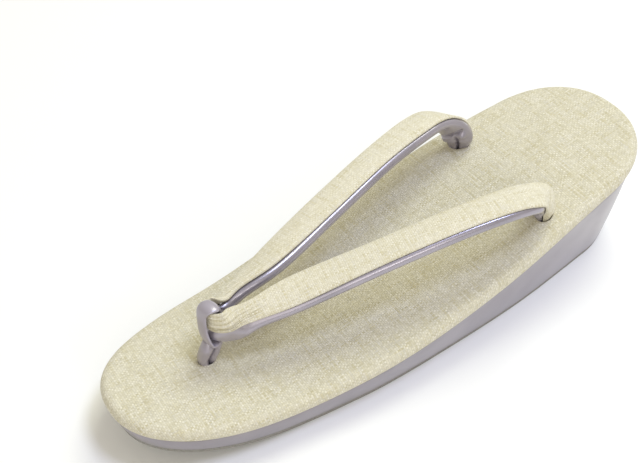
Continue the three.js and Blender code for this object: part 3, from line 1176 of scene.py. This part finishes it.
@dataclass
class ToeLoop:
    """The leather strip: a ring round the strap's fold, a crossing under it and two legs."""

    middle: tuple[float, float, float] = (0, -76.2, 39.5)
    lean: float = 4.0
    high: float = 7.7
    deep: float = 3.1
    wall: float = 1.15
    dome: float = 0.35  # of its outer side, across
    square: float = 0.7  # under 1 makes the ring fuller at the corners than an oval
    strip_square: tuple[float, float] = (0.6, 0.7)  # the same for the strip's section
    leg_square: float = 0.85
    # Round the ring: share from the front over the top, half width, shift to the right, tilt
    ring_rows: tuple[tuple[float, ...], ...] = (
        (0, 2.3, 0, 16), (0.1, 2.8, -0.9, 10), (0.18, 3.4, -0.6, 0), (0.25, 3.5, -0.2, 0),
        (0.31, 3.1, 0.2, 0), (0.37, 1.9, 0.1, 0), (0.5, 1.8, 0, 0), (0.64, 2, 0.4, 0),
        (0.75, 2.7, 1.9, 0), (0.83, 3, 2.2, 6), (0.9, 2.7, 1.4, 14), (1, 2.3, 0, 16),
    )
    steps: int = 120
    corners: int = 20
    # Each leg up from the hole: z, x, y, half x, half y
    front_leg: tuple[tuple[float, ...], ...] = (
        (15.3, -0.4, -81.6, 2.2, 1.6), (20, -0.7, -81.7, 2.6, 1.8), (22, -0.6, -81.8, 2.7, 1.9),
        (24.5, 0, -81.5, 2.8, 2.1), (26.5, 0.5, -81, 2.8, 2.3), (29.5, 1.1, -79.9, 2.8, 2.5),
        (31, 0.9, -79.6, 2.3, 1.9), (32.5, 0.6, -79.4, 1.5, 1.2),
    )
    rear_leg: tuple[tuple[float, ...], ...] = (
        (15.3, -0.4, -78.4, 1.8, 1.5), (20, -0.5, -78.2, 2.1, 1.6), (22, -0.2, -77.9, 2.3, 1.8),
        (24.5, 0.5, -77, 2.2, 1.8), (26.5, 1, -76.3, 2, 1.6), (29.5, 1.5, -75.3, 1.8, 1.4),
        (31.4, 1.7, -75.2, 1.6, 1.3),
    )
    leg_steps: int = 36
    leg_corners: int = 28

    def build(self, leather: bpy.types.Material) -> bpy.types.Object:
        """Makes the loop.

        Args:
            leather: Its material.

        Returns:
            The piece.
        """
        shell = self.ring()
        for rows in (self.front_leg, self.rear_leg):
            shell.add(self.leg(rows))
        return shell.piece("leather_toe_loop", leather, crease=75)

    def ring(self) -> Shell:
        """The ring round the fold.

        Returns:
            The ring's mesh.
        """
        read = columns("at half shift tilt", self.ring_rows)
        lean = math.radians(self.lean)
        ahead = Vector((0, -math.cos(lean), math.sin(lean)))
        up = Vector((0, math.sin(lean), math.cos(lean)))
        right = Vector((1, 0, 0))
        rings = []
        for i in range(self.steps):
            angle = 2 * math.pi * i / self.steps
            at = i / self.steps
            turned = Vector([power(way(angle), self.square) for way in (math.cos, math.sin)])
            path = ahead * (self.deep * turned.x) + up * (self.high * turned.y)
            normal = (ahead * turned.x + up * turned.y).normalized()
            tilt = math.radians(read["tilt"](at))
            across = right * math.cos(tilt) - normal * math.sin(tilt)
            outward = normal * math.cos(tilt) + right * math.sin(tilt)
            ring = []
            for j in range(self.corners):
                corner = 2 * math.pi * j / self.corners
                along = power(math.cos(corner), self.strip_square[0])
                out = self.wall * (0.5 + 0.5 * power(math.sin(corner), self.strip_square[1]))
                out += self.dome * (1 - along * along) * (math.sin(corner) > 0)
                spot = Vector(self.middle) + right * read["shift"](at) + path
                ring.append(spot + across * (read["half"](at) * along) + outward * out)
            rings.append(ring)
        shell = Shell.through(rings)
        shell.join_ends()
        return shell

    def leg(self, rows: tuple[tuple[float, ...], ...]) -> Shell:
        """One leg of the loop, from the hole up to the ring.

        Args:
            rows: The leg's table.

        Returns:
            The leg's mesh.
        """
        read = columns("z x y half_x half_y", rows)
        low, high = rows[0][0], rows[-1][0]
        rings = []
        for i in range(self.leg_steps + 1):
            z = low + (high - low) * i / self.leg_steps
            ring = []
            for j in range(self.leg_corners):
                corner = 2 * math.pi * j / self.leg_corners
                x = read["x"](z) + read["half_x"](z) * power(math.cos(corner), self.leg_square)
                y = read["y"](z) + read["half_y"](z) * math.sin(corner)
                ring.append(Vector((x, y, z)))
            rings.append(ring)
        shell = Shell.through(rings)
        shell.shut_both()
        return shell


@dataclass
class Lamp:
    """A soft box that looks at the sandal."""

    name: str
    azimuth: float  # round from the toe, towards +X
    elevation: float
    distance: float  # m
    size: float  # m
    power: float  # W
    colour: tuple[float, float, float]

    def build(self) -> None:
        """Hangs the lamp."""
        a, e = math.radians(self.azimuth), math.radians(self.elevation)
        away = Vector((math.sin(a) * math.cos(e), -math.cos(a) * math.cos(e), math.sin(e)))
        data = bpy.data.lights.new(self.name, "AREA")
        data.shape = "DISK"
        data.size = self.size
        data.energy = self.power
        data.color = self.colour
        made = bpy.data.objects.new(self.name, data)
        made.matrix_world = Matrix.Translation(away * self.distance) @ away.to_track_quat(
            "Z", "Y"
        ).to_matrix().to_4x4()
        bpy.context.scene.collection.objects.link(made)


@dataclass
class Studio:
    """Camera, floor and light."""

    camera_spot: tuple[float, float, float] = (238.837, -170.682, 331.382)  # mm
    camera_look: tuple[float, float, float] = (-0.61216, 0.366284, -0.700782)
    camera_up: tuple[float, float, float] = (-0.567951, 0.412955, 0.711969)
    focal_pixels: float = 1061.39
    picture_width: int = 640
    sensor: float = 36.0  # mm
    floor_half: float = 3.0  # m
    floor_colour: str = "#f0f0f0"
    lamps: tuple[Lamp, ...] = (
        Lamp("key_box", 132, 68, 1.6, 0.4, 10.0, (0.66, 0.73, 1.0)),
        Lamp("back_box", 200, 60, 1.6, 0.8, 11.0, (0.96, 1.0, 0.85)),
        Lamp("front_fill", 60, 32, 1.6, 1.2, 4.6, (1.0, 0.97, 0.95)),
        Lamp("side_strip", 83, 26, 1.6, 0.3, 1.7, (1.0, 0.98, 0.97)),
    )
    sky: tuple[float, float, float] = (0.58, 0.545, 0.46)

    def build(self) -> None:
        """Sets up the picture."""
        self.hang_camera()
        self.lay_floor()
        for lamp in self.lamps:
            lamp.build()
        world = bpy.data.worlds.new("studio_air")
        bpy.context.scene.world = world
        world.use_nodes = True
        air = world.node_tree.nodes["Background"]
        air.inputs["Color"].default_value = (*self.sky, 1.0)
        air.inputs["Strength"].default_value = 1.0
        bpy.context.scene.view_settings.view_transform = "Standard"

    def hang_camera(self) -> None:
        """Places the camera as in the picture."""
        look = Vector(self.camera_look).normalized()
        right = look.cross(Vector(self.camera_up)).normalized()
        up = right.cross(look)
        data = bpy.data.cameras.new("picture_camera")
        data.sensor_fit = "HORIZONTAL"
        data.sensor_width = self.sensor
        data.lens = self.focal_pixels / self.picture_width * self.sensor
        data.clip_start = 0.01
        made = bpy.data.objects.new("picture_camera", data)
        turn = Matrix((right, up, -look)).transposed().to_4x4()
        made.matrix_world = Matrix.Translation(Vector(self.camera_spot) * MM) @ turn
        bpy.context.scene.collection.objects.link(made)
        bpy.context.scene.camera = made

    def lay_floor(self) -> None:
        """Lays the plain pale floor."""
        material, tree = fresh_material("pale_floor")
        paint = node(
            tree, "ShaderNodeBsdfPrincipled",
            {"Base Color": linear(self.floor_colour), "Roughness": 0.9},
        ).outputs[0]
        node(tree, "ShaderNodeOutputMaterial", {0: paint})
        bm = bmesh.new()
        bmesh.ops.create_grid(bm, x_segments=1, y_segments=1, size=self.floor_half)
        mesh = bpy.data.meshes.new("floor")
        bm.to_mesh(mesh)
        bm.free()
        mesh.materials.append(material)
        floor = bpy.data.objects.new("floor", mesh)
        bpy.context.scene.collection.objects.link(floor)


def main() -> None:
    """Builds the sandal and its studio."""
    logging.basicConfig(level=logging.INFO, format="%(name)s: %(message)s")
    Studio().build()
    # The picture's weave repeats every 1.41 by 1.67 mm. A plain weave repeats every two threads
    footbed_cloth = WovenCloth(
        "plain_weave_footbed_cloth", warp=0.705, weft=0.835, relief=0.13
    ).material()
    # A lighter copy of the cloth: its lighter gap colour is painted light, which lifts the shade on
    # the strap's sides
    strap_cloth = WovenCloth(
        "plain_weave_strap_cloth", warp=0.66, weft=0.78, relief=0.12, gap="#b9b299"
    ).material()
    leather = PearlLeather("pearl_coated_strap_leather").material()
    # A darker copy of the strap's leather: its darker base, light and dark are painted shade on the
    # wedge's wall, and its lower coat and pearl give the satin finish
    wrap = PearlLeather(
        "satin_wrap_leather", base="#938d94", light="#9b959c", dark="#8a848b", coat=0.35, pearl=0.15
    ).material()
    strip = PearlLeather("satin_strip_leather", coat=0.5, pearl=0.15).material()
    rubber = PaleRubber().material()

    last = Last()
    holes = (
        Hole(-0.6, -80.05, 2.5, 3.45, 0),
        Hole(26.6, 59.8, 4.4, 3.4, -45),
        Hole(-26.6, 59.8, 4.4, 3.4, 45),
    )
    hand_over(Outsole(last).build(rubber), "outsole", Slot.RUBBER)
    hand_over(Wedge(last).build(wrap), "midsole", Slot.LEATHER)
    hand_over(Footbed(last, holes).build(footbed_cloth), "footbed", Slot.WOVEN)

    strap = Strap()
    face = strap.build_half(Half.FACE, "woven_strap_face", strap_cloth)
    hand_over(face, "strap_face", Slot.WOVEN)
    backing = strap.build_half(Half.BACKING, "leather_strap_backing", leather)
    hand_over(backing, "strap_backing", Slot.LEATHER)
    hand_over(ToeLoop().build(strip), "toe_loop", Slot.LEATHER)


if __name__ == "__main__":
    main()
